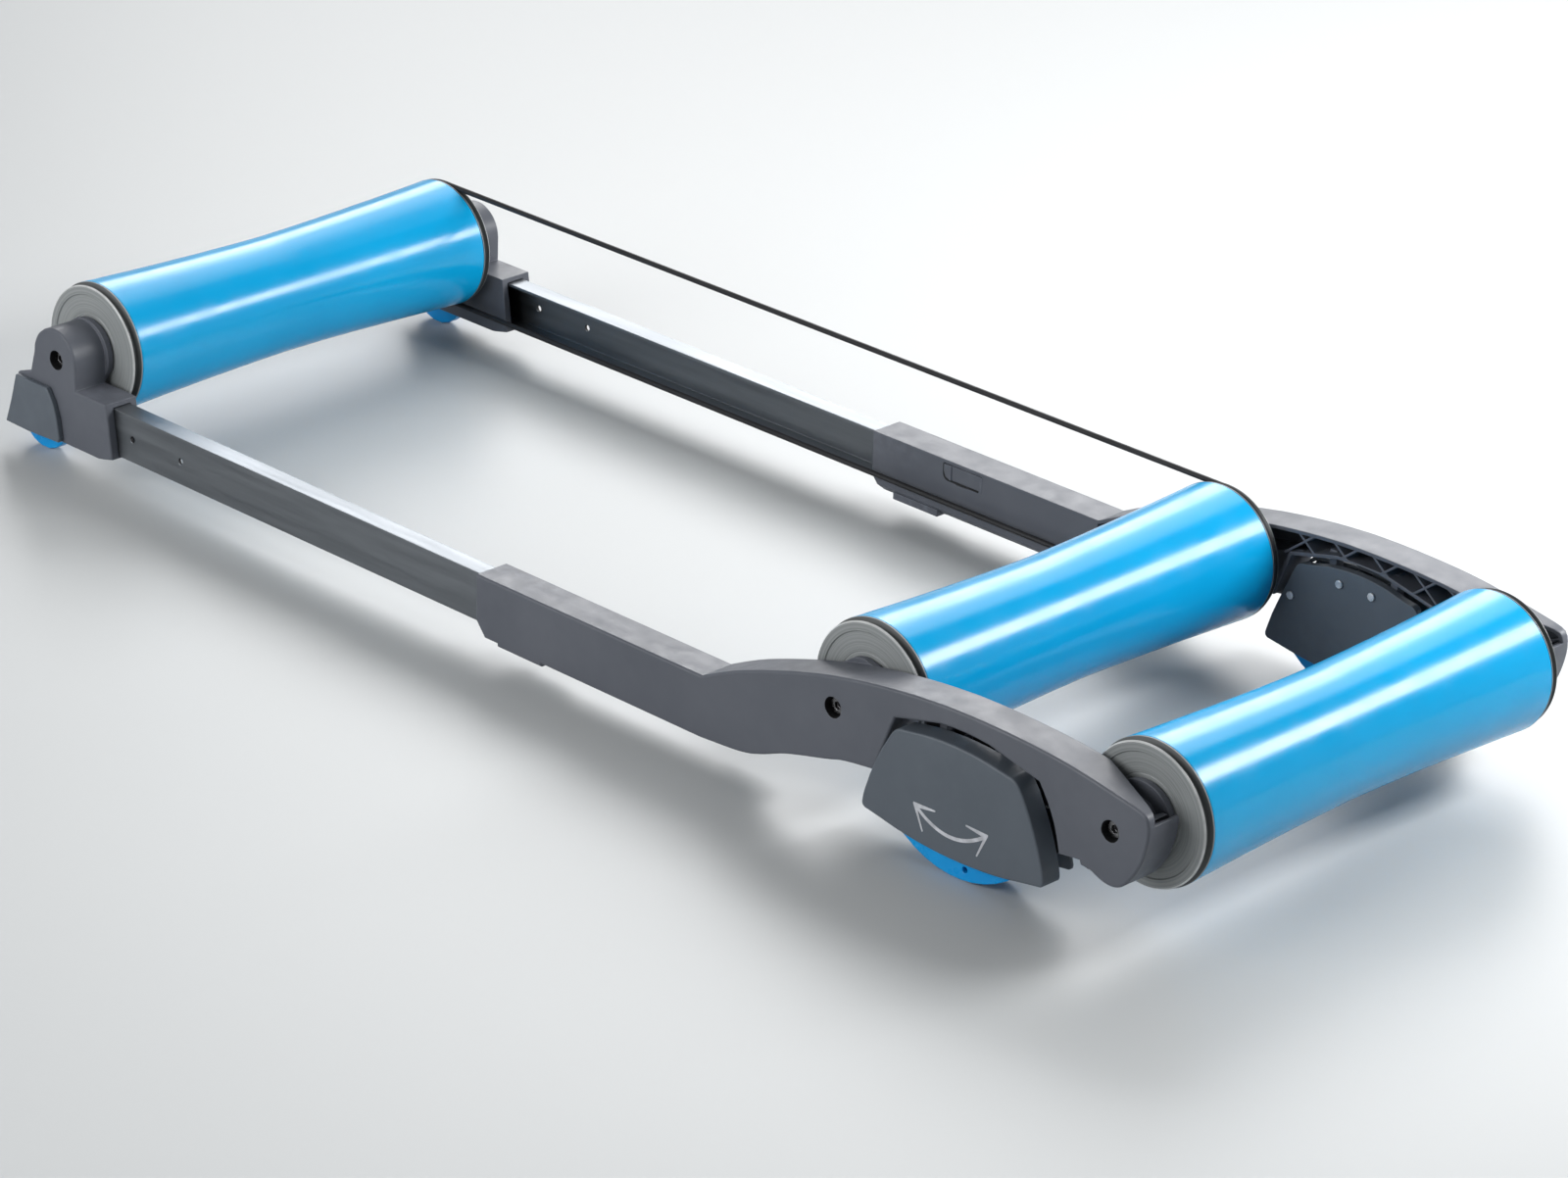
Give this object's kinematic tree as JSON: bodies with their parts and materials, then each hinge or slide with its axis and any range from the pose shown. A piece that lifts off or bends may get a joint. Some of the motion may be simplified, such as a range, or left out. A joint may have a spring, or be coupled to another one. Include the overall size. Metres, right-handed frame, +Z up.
{
  "type": "bike rollers",
  "caption": "Folding bicycle training rollers: waisted drums between telescoping side rails, joined by a round belt, on swinging rear feet and small front wheels.",
  "frame": {"origin": "on the floor under the middle of the stand's length and width", "axes": "+X towards the rider's back, from the front wheel to the rear wheel; +Y the rider's right; +Z up"},
  "size_m": [1.2576, 0.474, 0.143],
  "materials": {
    "blue_plastic": "glossy, fine machining lines round the drums",
    "arm_plastic": "fine moulded grain, matte",
    "cap_plastic": "satin with fine concentric rings",
    "rail_metal": "satin, drawn along the rail",
    "steel": "bright zinc plate",
    "belt_rubber": "smooth matte cord"
  },
  "bodies": {
    "rear_frame": {"arm_left": "arm_plastic", "arm_right": "arm_plastic", "middle_axle": "steel", "rear_axle": "steel", "middle_axle_bolt_left": "steel", "middle_axle_bolt_right": "steel", "rear_axle_bolt_left": "steel", "rear_axle_bolt_right": "steel", "drive_belt": "belt_rubber"},
    "front_frame": {"rail_left": "rail_metal", "rail_right": "rail_metal", "front_bracket_left": "arm_plastic", "front_bracket_right": "arm_plastic", "front_axle": "steel", "front_axle_bolt_left": "steel", "front_axle_bolt_right": "steel", "front_foot_cover_left": "arm_plastic", "front_foot_cover_right": "arm_plastic", "front_wheel_pin_left": "steel", "front_wheel_pin_right": "steel"},
    "front_roller": {"front_drum_shell": "blue_plastic", "front_drum_cap_left": "cap_plastic", "front_drum_cap_right": "cap_plastic", "front_drum_bearing_left": "steel", "front_drum_bearing_right": "steel"},
    "middle_roller": {"middle_drum_shell": "blue_plastic", "middle_drum_cap_left": "cap_plastic", "middle_drum_cap_right": "cap_plastic", "middle_drum_bearing_left": "steel", "middle_drum_bearing_right": "steel"},
    "rear_roller": {"rear_drum_shell": "blue_plastic", "rear_drum_cap_left": "cap_plastic", "rear_drum_cap_right": "cap_plastic", "rear_drum_bearing_left": "steel", "rear_drum_bearing_right": "steel"},
    "swing_foot_left": {"foot_cover_left": "arm_plastic", "foot_plate_left": "arm_plastic", "foot_rocker_left": "blue_plastic", "foot_pin_left": "steel", "foot_screw_upper_front_left": "steel", "foot_screw_upper_rear_left": "steel", "foot_screw_lower_front_left": "steel", "foot_screw_lower_rear_left": "steel"},
    "swing_foot_right": {"foot_cover_right": "arm_plastic", "foot_plate_right": "arm_plastic", "foot_rocker_right": "blue_plastic", "foot_pin_right": "steel", "foot_screw_upper_front_right": "steel", "foot_screw_upper_rear_right": "steel", "foot_screw_lower_front_right": "steel", "foot_screw_lower_rear_right": "steel"},
    "front_wheel_left": {"front_wheel_left": "blue_plastic"},
    "front_wheel_right": {"front_wheel_right": "blue_plastic"},
    "lock_tongue_left": {"lock_tongue_left": "arm_plastic"},
    "lock_tongue_right": {"lock_tongue_right": "arm_plastic"}
  },
  "joints": [
    {"name": "length_slide", "type": "slide", "parent": "rear_frame", "child": "front_frame", "axis": [1, 0, 0], "range_m": [-0.06, 0.42], "deforming": ["drive_belt"]},
    {"name": "front_drum_spin", "type": "hinge", "parent": "front_frame", "child": "front_roller", "pos_m": [-0.56712, 0, 0.088], "axis": [0, 1, 0], "continuous": true},
    {"name": "middle_drum_spin", "type": "hinge", "parent": "rear_frame", "child": "middle_roller", "pos_m": [0.31017, 0, 0.088], "axis": [0, 1, 0], "continuous": true},
    {"name": "rear_drum_spin", "type": "hinge", "parent": "rear_frame", "child": "rear_roller", "pos_m": [0.57383, 0, 0.088], "axis": [0, 1, 0], "continuous": true},
    {"name": "foot_swing_left", "type": "hinge", "parent": "rear_frame", "child": "swing_foot_left", "pos_m": [0.43317, -0.2125, 0.073], "axis": [0, 1, 0], "range_deg": [-7, 7]},
    {"name": "foot_swing_right", "type": "hinge", "parent": "rear_frame", "child": "swing_foot_right", "pos_m": [0.43317, 0.2125, 0.073], "axis": [0, 1, 0], "range_deg": [-7, 7]},
    {"name": "front_wheel_spin_left", "type": "hinge", "parent": "front_frame", "child": "front_wheel_left", "pos_m": [-0.59783, -0.21625, 0.03], "axis": [0, 1, 0], "continuous": true},
    {"name": "front_wheel_spin_right", "type": "hinge", "parent": "front_frame", "child": "front_wheel_right", "pos_m": [-0.59783, 0.21625, 0.03], "axis": [0, 1, 0], "continuous": true},
    {"name": "lock_press_left", "type": "hinge", "parent": "rear_frame", "child": "lock_tongue_left", "pos_m": [0.05318, -0.202, 0.057], "axis": [0, 0, -1], "range_deg": [-3.2, 0.2], "stiffness_Nm_per_rad": 0.5},
    {"name": "lock_press_right", "type": "hinge", "parent": "rear_frame", "child": "lock_tongue_right", "pos_m": [0.05318, 0.202, 0.057], "axis": [0, 0, 1], "range_deg": [-3.2, 0.2], "stiffness_Nm_per_rad": 0.5}
  ],
  "couplings": [
    {"joint": "front_drum_spin", "follows": "middle_drum_spin", "ratio": 1}
  ]
}
